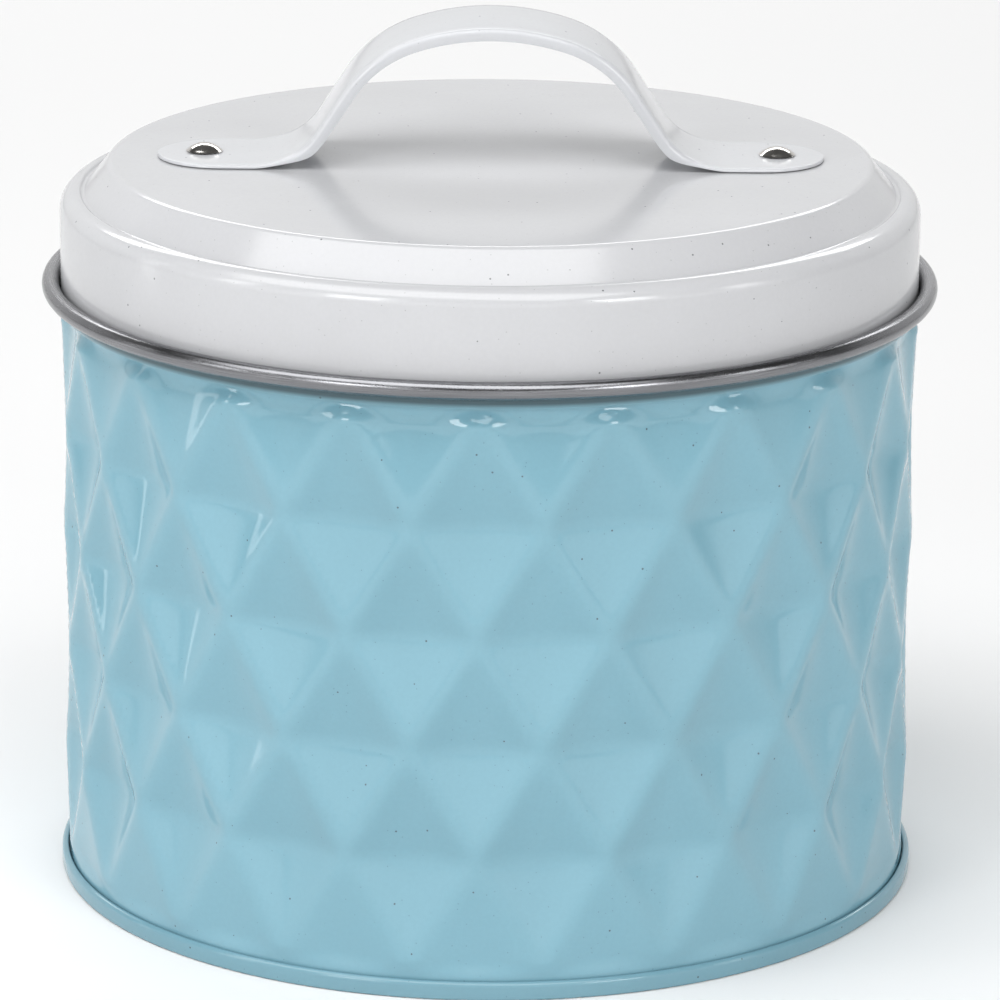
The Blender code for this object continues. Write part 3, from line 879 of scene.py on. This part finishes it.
# ---------------------------------------------------------------- stage

FLOOR_HALF_SIZE = 6.0
AIM = Vector((0.00243, 0.0, 0.06698))
CAMERA_SIDE_STEP = -0.0003
ORBIT_HEIGHT = 0.050
STUDIO_LEVEL = 0.10
FRONT_LEVEL = 1.25
BACKDROP_LEVEL = 0.72


def add_light(name, place, target, width, height, power):
    lamp = bpy.data.lights.new(name, "AREA")
    lamp.shape = "RECTANGLE"
    lamp.size = width
    lamp.size_y = height
    lamp.energy = power
    item = bpy.data.objects.new(name, lamp)
    item.location = place
    item.rotation_euler = (Vector(target) - Vector(place)).to_track_quat("-Z", "Y").to_euler()
    bpy.context.scene.collection.objects.link(item)


def add_lights():
    """A broad softbox overhead, panels that the enamel mirrors, and a lamp on the floor behind."""
    middle = (0, 0, 0.08)
    add_light("key_softbox", (-0.30, -0.56, 1.45), middle, 2.3, 1.0, 25.5)
    add_light("left_strip", (-0.62, 0.06, 0.20), middle, 0.05, 0.42, 0.13)
    neck = (0, 0, 0.10)
    for name, side in (("left", -1), ("right", 1)):
        add_light("near_panel_" + name, (side * 0.70, -1.00, 0.58), neck, 0.34, 0.36, 2.9)
        add_light("side_panel_" + name, (side * 1.15, -0.42, 0.58), neck, 0.20, 0.36, 1.0)
    add_light("backdrop_lamp", (0, 1.9, 1.5), (0, 1.5, 0), 2.6, 0.6, 30.0)


def add_floor(stage):
    bm = bmesh.new()
    bmesh.ops.create_grid(bm, x_segments=8, y_segments=8, size=FLOOR_HALF_SIZE)
    material, nodes, shader = new_material("pale_floor")
    tone = nodes.mix(nodes.noise(0.4), rgba(stage.floor, 0.99), rgba(stage.floor, 1.01))
    nodes.put(shader.inputs["Base Color"], tone)
    shader.inputs["Roughness"].default_value = 0.8
    shader.inputs["Specular IOR Level"].default_value = 0.1
    new_piece("floor", bm, [material])


def add_world():
    """A dim studio with pale screens low down, brighter in front of the tin than behind it."""
    world = bpy.data.worlds.new("studio")
    bpy.context.scene.world = world
    nodes = Nodes(world)
    direction = nodes.add("ShaderNodeTexCoord").outputs["Generated"]
    parts = nodes.add("ShaderNodeSeparateXYZ", {0: direction}).outputs
    front = nodes.between(parts["Y"], 1.0, 0.0, -0.30, 0.15)
    back = nodes.between(parts["Y"], 0.0, 1.0, 0.20, 0.60)
    ahead = nodes.math("MULTIPLY", nodes.between(parts["Z"], 1.0, 0.0, 0.18, 0.36), front)
    behind = nodes.math("MULTIPLY", nodes.between(parts["Z"], 1.0, 0.0, 0.40, 0.62), back)
    level = nodes.math("MULTIPLY_ADD", ahead, FRONT_LEVEL, STUDIO_LEVEL)
    level = nodes.math("MULTIPLY_ADD", behind, BACKDROP_LEVEL, level)
    shade = nodes.add("ShaderNodeCombineColor", {0: level, 1: level, 2: level}).outputs[0]
    background = nodes.tree.nodes["Background"]
    nodes.put(background.inputs["Color"], shade)
    background.inputs["Strength"].default_value = 1.0


def add_camera(stage):
    camera = bpy.data.cameras.new("camera")
    camera.lens = stage.lens
    camera.sensor_width = 36.0
    camera.clip_start = 0.05
    camera.clip_end = 30.0
    item = bpy.data.objects.new("camera", camera)
    side = Vector((CAMERA_SIDE_STEP, 0, 0))
    item.location = side + Vector((
        0, -stage.camera_distance * math.cos(stage.camera_elevation),
        ORBIT_HEIGHT + stage.camera_distance * math.sin(stage.camera_elevation)))
    facing = (side + AIM - item.location).to_track_quat("-Z", "Y").to_matrix()
    item.rotation_euler = (facing @ Matrix.Rotation(stage.camera_roll, 3, "Z")).to_euler()
    bpy.context.scene.collection.objects.link(item)
    bpy.context.scene.camera = item


class COOKIETIN_OT_stage(bpy.types.Operator):
    """Set the pale floor, the soft lights and the camera"""

    bl_idname = "cookie_tin.stage"
    bl_label = "Stage"

    def execute(self, context):
        stage = context.scene.cookie_tin_stage
        add_floor(stage)
        add_world()
        add_lights()
        add_camera(stage)
        context.scene.view_settings.view_transform = "Standard"
        return {"FINISHED"}


# ---------------------------------------------------------------- panel and running

PIECES = (
    ("cookie_tin_body", CookieTinBody, COOKIETIN_OT_body),
    ("cookie_tin_bottom", CookieTinBottom, COOKIETIN_OT_bottom),
    ("cookie_tin_lid", CookieTinLid, COOKIETIN_OT_lid),
    ("cookie_tin_handle", CookieTinHandle, COOKIETIN_OT_handle),
    ("cookie_tin_rivets", CookieTinRivets, COOKIETIN_OT_rivets),
    ("cookie_tin_stage", CookieTinStage, COOKIETIN_OT_stage),
)


class VIEW3D_PT_cookie_tin(bpy.types.Panel):
    """Lists each piece with its sizes and colours"""

    bl_label = "Cookie tin"
    bl_space_type = "VIEW_3D"
    bl_region_type = "UI"
    bl_category = "Cookie tin"

    def draw(self, context):
        for name, settings, operator in PIECES:
            box = self.layout.box()
            box.operator(operator.bl_idname)
            for setting in settings.__annotations__:
                box.prop(getattr(context.scene, name), setting)


def register():
    for name, settings, operator in PIECES:
        bpy.utils.register_class(settings)
        setattr(bpy.types.Scene, name, PointerProperty(type=settings))
        bpy.utils.register_class(operator)
    bpy.utils.register_class(VIEW3D_PT_cookie_tin)


def unregister():
    bpy.utils.unregister_class(VIEW3D_PT_cookie_tin)
    for name, settings, operator in reversed(PIECES):
        bpy.utils.unregister_class(operator)
        delattr(bpy.types.Scene, name)
        bpy.utils.unregister_class(settings)


def main():
    register()
    bpy.ops.cookie_tin.body()
    bpy.ops.cookie_tin.bottom()
    bpy.ops.cookie_tin.lid()
    bpy.ops.cookie_tin.handle()
    bpy.ops.cookie_tin.rivets()
    bpy.ops.cookie_tin.stage()


if __name__ == "__main__":
    main()
